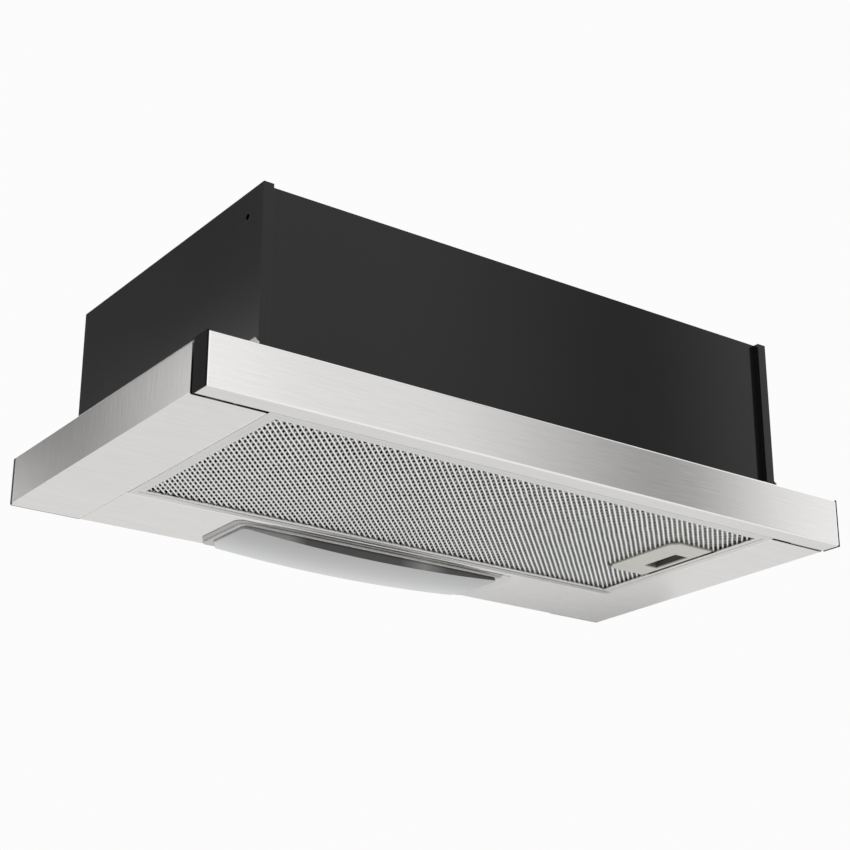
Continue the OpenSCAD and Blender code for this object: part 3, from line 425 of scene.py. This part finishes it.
def brushed(name, colour=steel_colour, tone=None, painted_highlight=None, grain=1.0):
    """Brushed stainless steel whose grain runs along X, or up the walls that face X.

    tone makes it lighter or darker by place, and the highlight function tells where its edges
    get a painted highlight."""
    steel = Finish(name, metallic=1.0)
    level = (streak_length, 1, 1)
    upright = (1, 1, streak_length)
    wall = abs(steel.axis("X", steel.facing)) > square_on
    fine = steel.noise(scale=streak_scale, detail=2, stretch=level)
    coarse = steel.noise(scale=streak_scale / 3, detail=2, stretch=level)
    fine_up = steel.noise(scale=streak_scale, detail=2, stretch=upright)
    coarse_up = steel.noise(scale=streak_scale / 3, detail=2, stretch=upright)
    streak = fine * (1 - wall) + fine_up * wall
    broad = coarse * (1 - wall) + coarse_up * wall
    light = (1 + streak_contrast * grain * (streak - 0.5)
             + broad_contrast * grain * (broad - 0.5))
    if tone:
        light = light * tone(steel)
    tinted = steel.tint(colour, light)
    steel.set(base_color=steel.mix(tinted, highlight_white, painted_highlight(steel)) if painted_highlight else tinted)
    steel.set(roughness=0.1 + 0.05 * streak + 0.03 * steel.noise(scale=14))
    steel.bump(streak, streak_depth * grain, steel.rounded(steel_edge))
    return steel


strip_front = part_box("rear_strip")[0][1]
wing_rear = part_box("wing_left")[1][1]
wing_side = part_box("wing_right")[1][0]


def strip_painted_highlight(steel):
    """Painted highlight on the cut edge of the strip, next to the filter."""
    return 0.6 * (steel.axis("Y") < strip_front + highlight_width)


def black_rear_edge(steel):
    """Black edging on the rear end of the wall and, thinner, of the floor; dark front end."""
    side = abs(steel.axis("X"))
    rear = steel.axis("Y")
    wall_end = (rear > wing_rear - wall_edging) * (side > wing_side - wall_skin)
    floor_end = rear > wing_rear - floor_edging
    front_end = steel.axis("Y", steel.facing) < -square_on
    return 1 - 0.95 * most(wall_end, 0.75 * most(floor_end, front_end))


pan_steel = brushed("pan_steel", painted_highlight=strip_painted_highlight)
dress(pan_steel, "rear_strip")
wing_steel = brushed("wing_steel", tone=black_rear_edge)
dress(wing_steel, "wing_left", "wing_right")

# ---- Pan hems ----
# Where wings and strip meet, round the filter, their edges are folded back on themselves. They are
# thin round hems of the same brushed steel, one on each wing and one on the strip, in a lighter
# colour that is a painted highlight.
hem_highlight_colour = (0.86, 0.85, 0.84)
hem_radius = 0.00052
hem_sides = 12
hem_tip = 0.4
hem_overhang = 0.00005
hem_rise = 0.00025
hem_front_gap = 0.0003
hem_lap = 0.001


def hem(edges, start, end):
    """A sheet's edge folded back on itself, round and closed at both ends."""
    run = end - start
    along = run.normalized()
    up = Vector((0, 0, 1))
    across = along.cross(up)
    turns = [2 * math.pi * k / hem_sides for k in range(hem_sides)]
    spokes = [hem_radius * (math.cos(turn) * across + math.sin(turn) * up) for turn in turns]
    rings = []
    for reach, size in ((0, hem_tip), (hem_radius, 1), (run.length - hem_radius, 1),
                        (run.length, hem_tip)):
        rings.append([edges.verts.new(start + along * reach + size * spoke) for spoke in spokes])
    for ring, following in zip(rings, rings[1:]):
        for k in range(hem_sides):
            edges.faces.new([ring[k - 1], ring[k], following[k], following[k - 1]])
    edges.faces.new(rings[0])
    edges.faces.new(reversed(rings[-1]))


wing_low, wing_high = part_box("wing_left")
hem_x = -wing_high[0] - hem_overhang
hem_y = strip_front + hem_overhang
hem_z = wing_low[2] + hem_rise
hem_form = bmesh.new()
for side in (-1, 1):
    hem(hem_form, Vector((side * hem_x, wing_low[1] + hem_front_gap, hem_z)),
        Vector((side * hem_x, strip_front + hem_lap, hem_z)))
hem(hem_form, Vector((-hem_x, hem_y, hem_z)), Vector((hem_x, hem_y, hem_z)))
bmesh.ops.recalc_face_normals(hem_form, faces=hem_form.faces)
for face in hem_form.faces:
    face.smooth = len(face.verts) == 4
pan_hems = build("pan_hems", hem_form, brushed("hem_steel", hem_highlight_colour, grain=0.5))
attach(pan_hems, "housing")

# ---- Wing brackets ----
# Steel angles screwed to the body's sides that carry the wings. The foot that lies on the wing is
# in the dark gap and is painted almost black as shade; only a corner of the upright leg shows.
bracket_colour = (0.6, 0.6, 0.59)
bracket_foot_height = 0.004
bracket_foot_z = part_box("wing_bracket_left")[0][2] + bracket_foot_height


def bracket_painted_shade(steel):
    """Painted shade: the foot in the gap is almost black."""
    return 0.03 + 0.97 * (steel.axis("Z") > bracket_foot_z)


bracket_steel = brushed("bracket_steel", bracket_colour, tone=bracket_painted_shade)
dress(bracket_steel, "wing_bracket_left", "wing_bracket_right")

# ---- Lamp rim ----
# Pressed steel rim in the strip's cut-out: a flat flange, then a ring that stands proud of it and
# steps down to the cover. Light and shade on these steps are painted.
rim_colour = (0.55, 0.54, 0.53)
flange_thickness = 0.0006
ring_face = 0.0001
rim_end_width = 0.012

rim_low, rim_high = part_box("lamp_bezel")
flange_z = rim_high[2] - flange_thickness
ring_z = rim_low[2] + ring_face
rim_end_x = rim_high[0] - rim_end_width


def rim_painted_light(steel):
    """Painted light and shade: the flange next to the strip darker than the ring that stands proud
    of it, the ring's lowest face between them, and a painted highlight at the right end.
    """
    ring = 0.75 * (steel.axis("Z") < flange_z) - 0.5 * (steel.axis("Z") < ring_z)
    return 0.62 + most(ring, 0.62 * (steel.axis("X") > rim_end_x))


rim_steel = brushed("lamp_rim_steel", rim_colour, tone=rim_painted_light, grain=0.35)
dress(rim_steel, "lamp_bezel")

# ---- Lamp ----
# Frosted polycarbonate cover that bows down, over a white reflector and two candle bulbs in
# ceramic holders. The cover's front wall has a painted reflection of a dark room with one painted
# glint, and the cover is painted lighter to the right and towards the rear.
cover_grey = (0.5, 0.51, 0.51)
cover_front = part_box("lamp_lens")[0][1]
cover_grain_scale = 900
cover_grain_depth = 0.00002
glint_x = 0.05
glint_reach = 0.025
dark_from_x = -0.085
dark_fade = 1 / 60
bulb_white = (0.9, 0.9, 0.86)

frosted = Finish("frosted_cover", roughness=0.35)
# Painted reflection on the front wall: darker, most of all to the right, with one painted glint.
front_wall = frosted.axis("Y", frosted.facing) < -square_on
glint = most(0, 1 - abs(frosted.axis("X") - glint_x) / glint_reach)
dark = share((frosted.axis("X") - dark_from_x) / dark_fade)
cover_painted_reflection = 1 - front_wall * (0.25 + 0.55 * (dark - glint))
# Painted light: the cover is lighter to the right and towards the rear.
rearwards = frosted.axis("Y") - cover_front
cover_painted_light = 0.68 + 0.4 * frosted.axis("X") + (2 + 130 * rearwards) * rearwards
cover_cloud_and_painted_light = cover_painted_light + 0.1 * frosted.noise(scale=20, detail=2, stretch=(0.2, 1, 1))
frosted.set(base_color=frosted.tint(cover_grey, cover_cloud_and_painted_light * cover_painted_reflection))
frosted.bump(frosted.noise(scale=cover_grain_scale, detail=1), cover_grain_depth,
             frosted.rounded(edge_radius))
dress(frosted, "lamp_lens")
dress(white_plastic, "lamp_reflector", "lamp_sockets")

glass = Finish("frosted_bulb", roughness=0.3, transmission_weight=0.3)
glass.set(base_color=glass.tint(bulb_white, 0.95 + 0.1 * glass.noise(scale=40)))
dress(glass, "lamp_bulbs")

# ---- Inner filter ----
# Second aluminium filter under the shelf: a corrugated core in a steel frame, which hooks on the
# shelf hold.
core_grey = (0.66, 0.66, 0.66)

core = Finish("aluminium_core", metallic=1.0)
core.set(base_color=core.tint(core_grey, 0.6 + 0.4 * core.noise(scale=700)))
core.set(roughness=0.35 + 0.15 * core.noise(scale=300))
dress(core, "inner_filter_core")
dress(pan_steel, "inner_filter_frame")

# ---- Visor front ----
# The fascia that is pulled, folded from brushed stainless sheet, and a black moulded cap pushed on
# at each end. Its bends and sheared ends get painted highlights, and its flange below painted
# shade.
fascia_colour = (0.86, 0.85, 0.84)
fascia_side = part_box("fascia")[1][0]
fascia_end_width = 0.001
leans_forward = -0.2
bend_tilt = 0.25
looks_down = -0.8
cap_black = (0.006, 0.006, 0.0058)


def fascia_painted_highlights(steel):
    """Painted highlights on the upper bend and the sheared ends, and less bright on the lower bend.
    """
    up = steel.axis("Z", steel.facing)
    front = steel.axis("Y", steel.facing) < leans_forward
    ends = most(abs(steel.axis("X")) > fascia_side - fascia_end_width, up > bend_tilt)
    return front * most(ends, 0.3 * (up < -bend_tilt))


def fascia_painted_shade(steel):
    """Painted shade: the flange below, facing down, is a little darker than the front."""
    return 1 - 0.17 * (steel.axis("Z", steel.facing) < looks_down)


fascia_steel = brushed("fascia_steel", fascia_colour, tone=fascia_painted_shade, painted_highlight=fascia_painted_highlights,
                       grain=0.6)
dress(fascia_steel, "fascia")
cap_plastic = moulded("cap_moulding", cap_black, roughness=0.42)
cap_plastic.set(specular_ior_level=0.05)
dress(cap_plastic, "end_cap_left", "end_cap_right")

# ---- Filter rim ----
# Folded steel rim of the grease filter, with a step. It hangs on pins at its left end, and its lip
# holds the sheets of expanded aluminium.
rim_rear_y = 0.0625
rim_left_x = -0.2
rim_fade = 1 / 14


def rim_shade(steel):
    """Grey reflection along the rear side of the rim, out of the light on its left end."""
    start = share((steel.axis("X") - rim_left_x) / rim_fade)
    return 0.88 - 0.3 * start * (steel.axis("Y") > rim_rear_y)


filter_steel = brushed("filter_rim_steel", tone=rim_shade, grain=0.5)
dress(filter_steel, "filter_frame")

# ---- Slit sheet ----
# Lower sheet of the grease filter: aluminium that is slit, stretched and pressed into ridges which
# run across the corner, so its slots lie in rows in the valleys. Cut away round the catch.
ridge_pitch = 0.00396
ridge_low_z = -0.1753
ridge_height = 0.0018
slot_spacing = 0.0075
steps_across = (0, 0.1, 0.2, 0.5, 0.8, 0.9)
steps_along = (0, 0.18, 0.28, 0.72, 0.82)
open_across = (2, 3)
open_along = (1, 2, 3)
slot_ends = (1, 4)
slot_lips = (2, 4)
slot_taper = 0.13
wobble_seed = 5
wobble_scale = 60
wobble = 0.0003
sheet_middle = Vector((0, -0.034))
sheet_edges = {"X": (-0.2318, 0.2318), "Y": (-0.1294, 0.0616)}
blank_depth = 0.2
spare = 0.005
catch_notch = {"X": (0.1845, 0.24), "Y": (-0.0805, 0.0055)}
aluminium = (1, 1, 0.99)
aluminium_grain_scale = 1500
aluminium_grain_depth = 0.00002


def on_sheet(u, v):
    """The place of a point that is u along the ridges and v across them."""
    return sheet_middle + Vector((u - v, u + v)) / math.sqrt(2)


def slit_sheet():
    """The corrugated sheet with its rows of slots, a little larger than it is trimmed to."""
    noise.seed_set(wobble_seed)
    sheet = bmesh.new()
    blank_width = sheet_edges["X"][1] - sheet_edges["X"][0]
    reach = (blank_width + blank_depth) / math.sqrt(8)
    rows = math.ceil(reach / slot_spacing)
    ridges = math.ceil(reach / ridge_pitch)
    along_count, across_count = len(steps_along), len(steps_across)
    points = {}

    def point(i, j):
        if (i, j) in points:
            return points[i, j]
        row, step_along = divmod(i, along_count)
        ridge, step_across = divmod(j, across_count)
        across = steps_across[step_across]
        if step_along in slot_ends and step_across in slot_lips:
            across += slot_taper if across < 0.5 else -slot_taper
        place = on_sheet((row + steps_along[step_along]) * slot_spacing,
                         (ridge + across) * ridge_pitch)
        bent = noise.noise_vector((place.x * wobble_scale, place.y * wobble_scale, 0)) * wobble
        rise = ridge_height * (0.5 - 0.5 * math.cos(2 * math.pi * across))
        spot = (place.x + bent.x, place.y + bent.y, ridge_low_z + rise + 0.3 * bent.z)
        points[i, j] = sheet.verts.new(spot)
        return points[i, j]

    for i in range(-rows * along_count, rows * along_count):
        for j in range(-ridges * across_count, ridges * across_count):
            slot = i % along_count in open_along and j % across_count in open_across
            middle = on_sheet((i / along_count + 0.5) * slot_spacing,
                              (j / across_count + 0.5) * ridge_pitch)
            inside = all(low - spare < value < high + spare
                         for value, (low, high) in zip(middle, sheet_edges.values()))
            if inside and not slot:
                sheet.faces.new([point(i, j), point(i + 1, j),
                                 point(i + 1, j + 1), point(i, j + 1)])
    return sheet


def cut(sheet, letter, place, keep=0):
    """Cuts a sheet across X or Y, and drops what is above (keep -1) or below (keep 1) the cut."""
    normal = (1, 0, 0) if letter == "X" else (0, 1, 0)
    bmesh.ops.bisect_plane(sheet, geom=sheet.verts[:] + sheet.edges[:] + sheet.faces[:],
                           plane_co=[place * part for part in normal], plane_no=normal,
                           clear_outer=keep < 0, clear_inner=keep > 0)


slits = slit_sheet()
for letter, (low, high) in sheet_edges.items():
    cut(slits, letter, low, 1)
    cut(slits, letter, high, -1)
for letter, (low, high) in catch_notch.items():
    cut(slits, letter, low)
    cut(slits, letter, high)
notch_x, notch_y = catch_notch.values()
under_catch = [face for face in slits.faces
               if notch_x[0] < face.calc_center_median().x < notch_x[1]
               and notch_y[0] < face.calc_center_median().y < notch_y[1]]
bmesh.ops.delete(slits, geom=under_catch, context="FACES")
bmesh.ops.recalc_face_normals(slits, faces=slits.faces)
for face in slits.faces:
    face.smooth = True

mesh_metal = Finish("expanded_aluminium", metallic=1.0)
depth = (mesh_metal.axis("Z") - ridge_low_z) / ridge_height
# Painted shade: darker towards the valleys, lightest on the crests.
valley_painted_shade = 1 - 0.43 * least(1, 2.5 * depth)
mottle = 0.86 + 0.22 * mesh_metal.noise(scale=500)
mesh_metal.set(base_color=mesh_metal.tint(aluminium, valley_painted_shade * mottle))
mesh_metal.set(roughness=0.3 + 0.12 * mesh_metal.noise(scale=300))
mesh_metal.bump(mesh_metal.noise(scale=aluminium_grain_scale, detail=1), aluminium_grain_depth)

slit_sheet_piece = build("slit_filter_sheet", slits, mesh_metal)
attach(slit_sheet_piece, "cassette")
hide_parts("filter_mesh")

# ---- Filter backing ----
# Upper layer of the grease filter, seen through the slots: the same aluminium in deep shade, with
# only a few strands that catch the light.
shaded_aluminium = (0.02, 0.02, 0.02)
strand_scale = 330

back_metal = Finish("inner_expanded_aluminium", metallic=1.0)
strands = 40 * most(0, back_metal.noise(scale=strand_scale, detail=1) - 0.42)
back_metal.set(base_color=back_metal.tint(shaded_aluminium, 1 + strands))
back_metal.set(roughness=0.4 + 0.1 * back_metal.noise(scale=300))
dress(back_metal, "filter_backing")

# ---- Catch and knobs ----
# Warm grey mouldings: the tray with its finger opening, the bolt that slides in it, the tray's
# back, and the knobs of the two switches. Painted shade makes the tray darker into its opening and
# the tray's back near black.
knob_grey = (0.52, 0.51, 0.47)
recess_shade_grey = (0.022, 0.0215, 0.02)
tray_face_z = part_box("catch_housing")[0][2]
tray_lip = 0.1
shade_depth = 0.002


def tray_shade(plastic):
    """Darker into the finger opening, where hardly any light gets."""
    into_tray = (plastic.axis("Z") - tray_face_z) / shade_depth
    return 1 - 0.7 * share(into_tray - tray_lip)


grey_plastic = moulded("grey_moulding", knob_grey, roughness=0.42)
dress(grey_plastic, "speed_knob", "light_knob")
tray_plastic = moulded("tray_moulding", knob_grey, roughness=0.42, shade=tray_shade)
dress(tray_plastic, "catch_housing", "catch_slider")
# Painted shade: the tray's back, seen only through the finger opening, is near black.
recess_painted_shade = moulded("grey_moulding_painted_shade", recess_shade_grey, roughness=0.6)
recess_painted_shade.set(specular_ior_level=0.2)
dress(recess_painted_shade, "catch_back")

# ---- Catch spring ----
# A bowed leaf of zinc-coated spring steel between the tray's wall and the bolt. It pushes the bolt
# out, and flattens against the wall when the bolt is drawn; here it is built bowed only.
leaf_low, leaf_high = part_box("catch_spring")
leaf_thickness = 0.0005
leaf_steps = 24

leaf_bow = leaf_high[0] - leaf_low[0] - leaf_thickness
leaf_half = (leaf_high[1] - leaf_low[1]) / 2
leaf_radius = (leaf_half ** 2 + leaf_bow ** 2) / (2 * leaf_bow)
leaf = bmesh.new()
sections = []
for k in range(leaf_steps + 1):
    aside = leaf_half * (2 * k / leaf_steps - 1)
    wall_face = leaf_low[0] + leaf_radius - math.sqrt(leaf_radius ** 2 - aside ** 2)
    bolt_face = wall_face + leaf_thickness
    y = leaf_low[1] + leaf_half + aside
    sections.append([leaf.verts.new(corner) for corner in (
        (wall_face, y, leaf_low[2]), (bolt_face, y, leaf_low[2]),
        (bolt_face, y, leaf_high[2]), (wall_face, y, leaf_high[2]))])
for section, following in zip(sections, sections[1:]):
    for k in range(4):
        leaf.faces.new([section[k - 1], section[k], following[k], following[k - 1]])
leaf.faces.new(sections[0])
leaf.faces.new(reversed(sections[-1]))
bmesh.ops.recalc_face_normals(leaf, faces=leaf.faces)
leaf_spring = build("catch_leaf_spring", leaf, zinc)
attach(leaf_spring, "cassette")
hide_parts("catch_spring")
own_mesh(leaf_spring)
